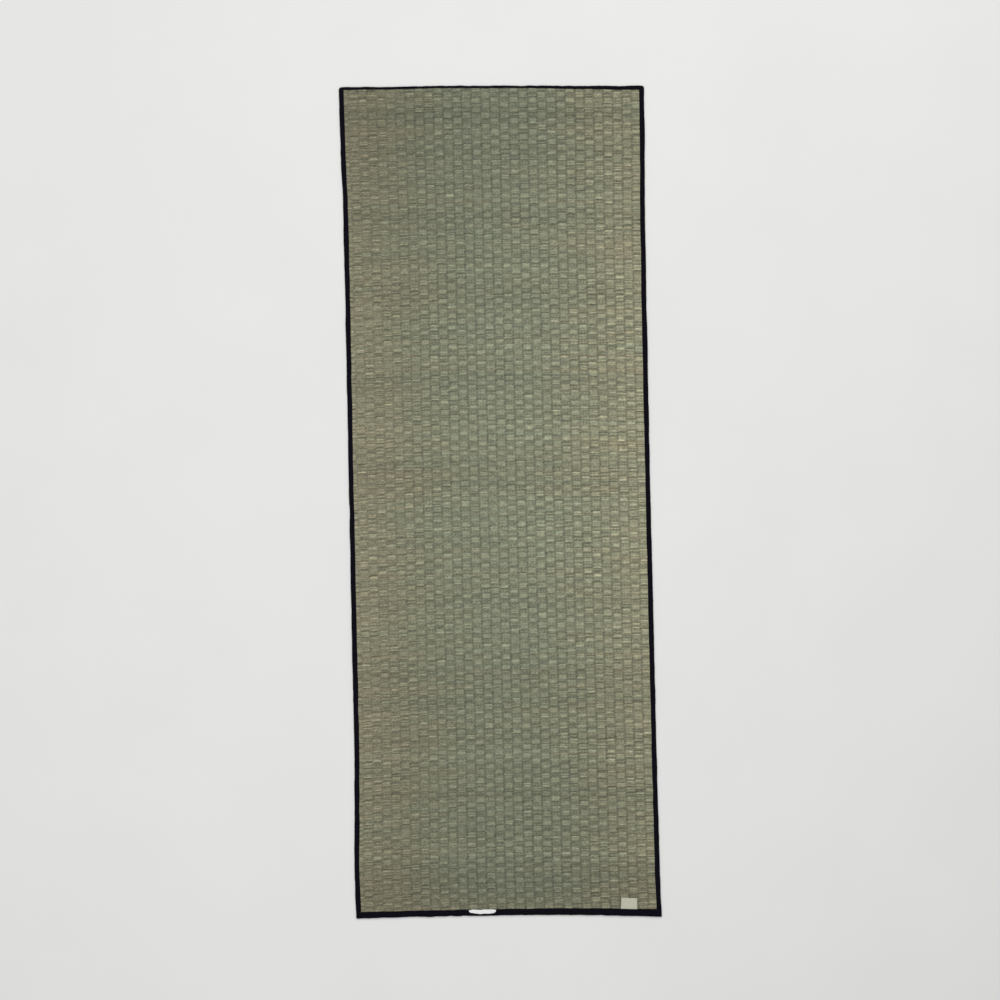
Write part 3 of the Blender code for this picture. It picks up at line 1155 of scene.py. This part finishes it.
        run = place * (plan.length if side.lengthwise else plan.width)
        ring = np.linalg.norm(np.diff(points[rows // 2], axis=0), axis=1)
        path = np.concatenate([[0.0], np.cumsum(ring)])
        closing = path[-1] + np.linalg.norm(points[rows // 2, 0] - points[rows // 2, -1])
        maps = corner_map(np.repeat(run, columns), np.tile(path, rows), faces)
        column = faces[0] % columns
        seam = (column == columns - 1).any(1) & (column == 0).any(1)
        wrapped = maps[0][seam, :, 1]
        maps[0][seam, :, 1] = np.where(wrapped == 0.0, closing, wrapped)
        name = f"binding_{side.value}"
        made = Surface(points.reshape(-1, 3), faces, {"cloth": maps}).build(
            f"{name}_cloth", material
        )
        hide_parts(name)
        return made


@dataclass
class Stitching:
    """The running stitches that hold the bindings, the label and the patch.

    Attributes:
        plan: The mat's plan.
        pitch: From one stitch to the next.
        length: The length of a stitch.
        radius: Half the thickness of the thread.
        stray: How far a stitch strays from the seam.
        inset: How far the seam runs from the binding's inner edge.
        margins: How far from their ends the seams of a side and of an end start.
        levels: The heights of the stitches' middles on top and below, with which way
            they bulge.
    """

    plan: MatPlan
    pitch: float = 5.0 * MM
    length: float = 3.4 * MM
    radius: float = 0.17 * MM
    stray: float = 0.12 * MM
    inset: float = 1.75 * MM
    margins: tuple = (16.0 * MM, 3.5 * MM)
    levels: tuple = ((3.40 * MM, 1.0), (0.10 * MM, -1.0))

    def seam(self, side: Side, level: float) -> tuple[Array, Array]:
        """The middles and directions of the stitches along one edge.

        Args:
            side: The edge.
            level: Their height.

        Returns:
            Points and unit directions, one row a stitch.
        """
        plan = self.plan
        margin = self.margins[0 if side.lengthwise else 1]
        run = plan.length if side.lengthwise else plan.width
        count = int((run - 2 * margin) / self.pitch)
        share = np.linspace(margin, run - margin, count) / run
        px, py = plan.from_edge(side, share, plan.bound(side, share) - self.inset)
        points = np.stack([px, py, np.full(len(px), level)], -1)
        direction = np.gradient(points, axis=0)
        return points, direction / np.linalg.norm(direction, axis=1, keepdims=True)

    def build(self, material: bpy.types.Material) -> bpy.types.Object:
        """Builds every stitch as one object of short bent capsules.

        Args:
            material: The thread.

        Returns:
            The stitches.
        """
        seams = [(*self.seam(side, level), lift) for side in Side for level, lift in self.levels]
        middle = np.concatenate([points for points, _, _ in seams])
        direction = np.concatenate([way for _, way, _ in seams])
        lift = np.concatenate([np.full(len(points), lift) for points, _, lift in seams])
        middle[:, :2] += self.stray * np.random.default_rng(9).standard_normal((len(middle), 2))
        across = np.stack([-direction[:, 1], direction[:, 0], 0 * lift], -1)
        place = np.array([-0.5, -0.3, 0.3, 0.5]) * self.length
        thick = np.array([0.35, 1.0, 1.0, 0.35])[:, None] * self.radius
        bow = np.array([-0.26, 0.0, 0.0, -0.26])[:, None] * MM
        turn = np.arange(5) / 5.0 * 2.0 * math.pi
        out, up = np.cos(turn) * thick, np.sin(turn) * thick + bow
        points = (
            middle[:, None, None, :]
            + place[None, :, None, None] * direction[:, None, None, :]
            + out[None, :, :, None] * across[:, None, None, :]
        )
        points[..., 2] += up[None] * lift[:, None, None]
        faces = tube_faces(len(place), len(turn), lift > 0)
        made = Surface(points.reshape(-1, 3), faces).build("binding_stitches", material)
        return made


@dataclass
class Label:
    """A small woven label folded flat, its open edge tucked into the near seam.

    Attributes:
        plan: The mat's plan.
        width: Its width.
        depth: How far it reaches from the seam.
        inset: How far its right side stays inside the label's solid.
        thick: The thickness of one layer.
        slant: How far its left side leans in.
        tucked: How much of its length is in the seam; not used.
        path: Points along the top layer, round the fold and back along the lower layer:
            (distance from the seam, height), in millimetres.
    """

    plan: MatPlan
    width: float = 35.4 * MM
    depth: float = 23.4 * MM
    inset: float = 1.6 * MM
    thick: float = 0.24 * MM
    slant: float = 1.5 * MM
    tucked: float = 3.0 * MM
    path: tuple = (
        (-1.6, 3.12), (-0.4, 3.22), (0.8, 3.62), (3.0, 3.70), (8.0, 3.74), (14.0, 3.76),
        (19.0, 3.74), (22.0, 3.70), (23.15, 3.66), (23.4, 3.52), (23.15, 3.38), (22.0, 3.34),
        (19.0, 3.36), (14.0, 3.36), (8.0, 3.34), (3.0, 3.30), (0.8, 3.20), (-0.4, 2.96),
        (-1.6, 2.86),
    )

    def build(self, material: bpy.types.Material) -> bpy.types.Object:
        """Builds the label: its path, given thickness and swept across the width.

        Args:
            material: The label's cloth.

        Returns:
            The label.
        """
        path = np.array(self.path) * MM
        tangent = np.gradient(path, axis=0)
        normal = np.stack([tangent[:, 1], -tangent[:, 0]], -1)
        normal *= 0.5 * self.thick / np.linalg.norm(normal, axis=1, keepdims=True)
        loop = np.concatenate([path - normal, (path + normal)[::-1]])
        stations = np.linspace(0.0, 1.0, 30)[:, None]
        right = float(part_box("maker_label")[1].x) - self.inset
        left = right - self.width
        reach = np.clip(loop[:, 0] / self.depth, 0.0, 1.0)[None, :]
        lean = self.slant * reach
        x = left + lean + (right - left - lean) * stations
        seam = self.plan.bound(Side.NEAR, 0.9) / self.plan.length
        y = self.plan.place(x - self.plan.shift[0], seam)[1] + loop[:, 0]
        wave = 0.10 * MM * drift(stations, reach, (4, 3), 141)
        z = loop[:, 1] + np.abs(wave) * ease(loop[:, 0], 0.0, 6 * MM)
        points = np.stack([x, y, z], -1)
        rows, columns = points.shape[:2]
        faces = tube_faces(rows, columns, [True])
        run = np.concatenate([[0.0], np.cumsum(np.linalg.norm(np.diff(loop, axis=0), axis=1))])
        u = np.repeat(stations.ravel() * self.width, columns)
        maps = {"cloth": corner_map(u, np.tile(run, rows), faces)}
        made = Surface(points.reshape(-1, 3), faces, maps).build("label_cloth", material)
        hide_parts("maker_label")
        return made


@dataclass
class HalfMoonPatch:
    """The white half-moon patch sewn flat on the near binding.

    Attributes:
        plan: The mat's plan.
        width: Its straight side.
        depth: How deep its round side is.
        base: The height it lies at.
        thick: Its thickness.
        hem: How much of its edge is turned under; not used.
        powers: The two powers that shape its round side.
        cut_share: Its share of the oblong round it before it is hemmed; not used.
    """

    plan: MatPlan
    width: float = 58.8 * MM
    depth: float = 8.6 * MM
    base: float = 3.55 * MM
    thick: float = 0.55 * MM
    hem: float = 0.8 * MM
    powers: tuple = (4.2, 0.45)
    cut_share: float = 0.88

    def build(self, material: bpy.types.Material) -> bpy.types.Object:
        """Builds the patch as a closed sheet: a half-moon stretched from its straight
        side to its round side, thinner at its turned edge. The round side's depth is
        (1 - |place| ** power) ** other power, where the place runs from -1 to 1.

        Args:
            material: The patch's cloth.

        Returns:
            The patch.
        """
        low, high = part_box("white_tab")
        a = np.sin(np.linspace(-0.5, 0.5, 61) * math.pi)
        b = np.linspace(0.0, 1.0, 13)[:, None]
        power, other = self.powers
        depth = self.depth * np.maximum(1.0 - np.abs(a) ** power, 0.0) ** other
        depth = depth * (1.0 + 0.10 * a)
        x = 0.5 * (low.x + high.x) + 0.5 * self.width * a
        seam = (self.plan.bound(Side.NEAR, 0.42) - 0.6 * MM) / self.plan.length
        straight = self.plan.place(x - self.plan.shift[0], seam)[1]
        straight = straight - 0.5 * MM * ease(np.abs(a), 0.75, 1.0)
        straight = straight + 0.25 * MM * drift(0.5 + a / 2, 0 * a, (7, 1), 151)
        reach = depth * b
        y = straight - reach - 0.4 * MM * b
        px = np.broadcast_to(x, y.shape)
        rim = np.minimum(reach, depth - reach)
        rise = self.thick * (0.35 + 0.65 * ease(rim, -0.1 * MM, 0.9 * MM))
        rise = rise * (1.0 + 0.12 * drift(0.5 + a[None, :] / 2, b, (9, 3), 152))
        top = np.stack([px, y, self.base + rise], -1)
        low_face = np.stack([px, y, np.full(y.shape, self.base - 0.1 * MM)], -1)
        rows, columns = y.shape
        base = rows * columns
        points = np.concatenate([top.reshape(-1, 3), low_face.reshape(-1, 3)])
        ring = np.concatenate(
            [np.arange(columns), np.arange(1, rows) * columns + columns - 1,
             (rows - 1) * columns + np.arange(columns - 2, -1, -1),
             np.arange(rows - 2, 0, -1) * columns]
        )
        after = np.roll(ring, -1)
        wall = np.stack([ring, after, after + base, ring + base], -1)
        grid = grid_faces(rows, columns)
        faces = [grid[:, ::-1], grid + base, wall]
        maps = {"cloth": corner_map(points[:, 0], points[:, 1], faces)}
        made = Surface(points, faces, maps).build("half_moon_patch", material)
        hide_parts("white_tab")
        return made


@dataclass
class Studio:
    """A pale floor, soft lights and a camera straight above the mat.

    Attributes:
        lean: How far the mat is turned in the picture, in degrees.
        field_m: The width of floor in the picture.
        lens_mm: The camera's lens.
        sensor_mm: The width of the camera's sensor.
        aim: The point on the mat at the picture's middle.
        floor_half: Half the floor's width.
        floor_drop: How far the floor lies under the mat, so that the two don't touch.
        sky: The even light's hex colour and strength.
    """

    lean: float = 1.254
    field_m: float = 2.171
    lens_mm: float = 85.0
    sensor_mm: float = 36.0
    aim: tuple = (0.0, 0.004)
    floor_half: float = 60.0
    floor_drop: float = 0.0002
    sky: tuple = ("FAFAFA", 0.435)

    def floor(self) -> None:
        """Lays the floor just under the mat."""
        size = self.floor_half
        points = [(-size, -size, 0.0), (size, -size, 0.0), (size, size, 0.0), (-size, size, 0.0)]
        mesh = bpy.data.meshes.new("floor")
        mesh.from_pydata(points, [], [(0, 1, 2, 3)])
        # Seamless backdrop paper, matt and almost white: an even ground with no pattern.
        paper = MattFinish(
            "floor", "E7E7E5", "E5E5E3", per_m=4.0, relief=0.1 * MM, roughness=0.9, specular=0.1
        )
        mesh.materials.append(paper.build())
        floor = bpy.data.objects.new("floor", mesh)
        floor.location.z = -self.floor_drop
        bpy.context.scene.collection.objects.link(floor)

    def light(self, name: str, place: tuple, size: float, watts: float, colour: str) -> None:
        """Hangs a square soft light aimed at the mat.

        Args:
            name: Its name.
            place: Where it hangs.
            size: Its side.
            watts: Its power.
            colour: Its hex colour.
        """
        data = bpy.data.lights.new(name, "AREA")
        data.size = size
        data.energy = watts
        data.color = linear(colour)[:3]
        lamp = bpy.data.objects.new(name, data)
        lamp.location = place
        lamp.rotation_euler = (-Vector(place)).to_track_quat("-Z", "Y").to_euler()
        bpy.context.scene.collection.objects.link(lamp)

    def build(self) -> None:
        """Builds the floor, lights, sky and camera."""
        scene = bpy.context.scene
        self.floor()
        self.light("key", (0.9, 4.1, 4.6), 3.0, 186.0, "FFFFFF")
        self.light("fill", (-0.7, -0.8, 3.2), 3.0, 38.0, "FBFCFF")
        world = bpy.data.worlds.new("sky")
        world.use_nodes = True
        back = world.node_tree.nodes["Background"].inputs
        back["Color"].default_value = linear(self.sky[0])
        back["Strength"].default_value = self.sky[1]
        scene.world = world
        scene.view_settings.view_transform = "Standard"
        data = bpy.data.cameras.new("camera")
        data.lens = self.lens_mm
        data.sensor_width = self.sensor_mm
        data.clip_end = 100.0
        camera = bpy.data.objects.new("camera", data)
        camera.location = (*self.aim, self.field_m * self.lens_mm / self.sensor_mm)
        camera.rotation_euler = (0.0, 0.0, -math.radians(self.lean))
        scene.collection.objects.link(camera)
        scene.camera = camera


def main() -> None:
    """Builds the mat and its setting in order."""
    logging.basicConfig(level=logging.INFO, format="%(message)s")
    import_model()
    plan = MatPlan()
    # Spun hemp, undyed: dull, hairy and a shade browner than the rush it holds.
    hemp = MattFinish(
        "warp_thread", "86836B", "6E6B56", per_m=1200.0, relief=0.08 * MM, roughness=0.8,
        specular=0.15,
    )
    RushPanel(plan, RushFinish()).build(hemp)
    # Cotton twill tape, dyed navy-black: it takes in the light and shows no gloss.
    navy = ClothFinish(
        "navy_cotton", "14121C", "07060B", per_m=900.0, slant=1.0, roughness=0.9, sheen=0.0,
        relief=0.06 * MM, specular=0.05,
    )
    cloth = navy.build()
    for side in Side:
        corner = 6.0 * MM if side is Side.FAR else 1.0 * MM
        Binding(plan, side, corner).build(cloth)
    # Twisted cotton sewing thread, dyed to match: a little lighter than the tape it crosses.
    thread = MattFinish(
        "navy_thread", "1A1722", "0F0D15", per_m=1500.0, relief=0.05 * MM, roughness=0.7,
        specular=0.1,
    )
    Stitching(plan).build(thread.build())
    # Plain-woven cotton label, unbleached: a warm cream with a soft, faintly fuzzy face.
    cream = ClothFinish(
        "cream_label_weave", "C9C7B5", "B3B09D", per_m=1500.0, slant=0.0, roughness=0.8,
        sheen=0.1, relief=0.04 * MM, specular=0.2,
    )
    Label(plan).build(cream.build())
    # Plain-woven cotton tape, bleached: clean white, smoother than the label.
    white = ClothFinish(
        "white_tape", "F4F4F3", "E0E0DF", per_m=1100.0, slant=0.0, roughness=0.75, sheen=0.05,
        relief=0.04 * MM, specular=0.2,
    )
    HalfMoonPatch(plan).build(white.build())
    Studio().build()


if __name__ == "__main__":
    main()
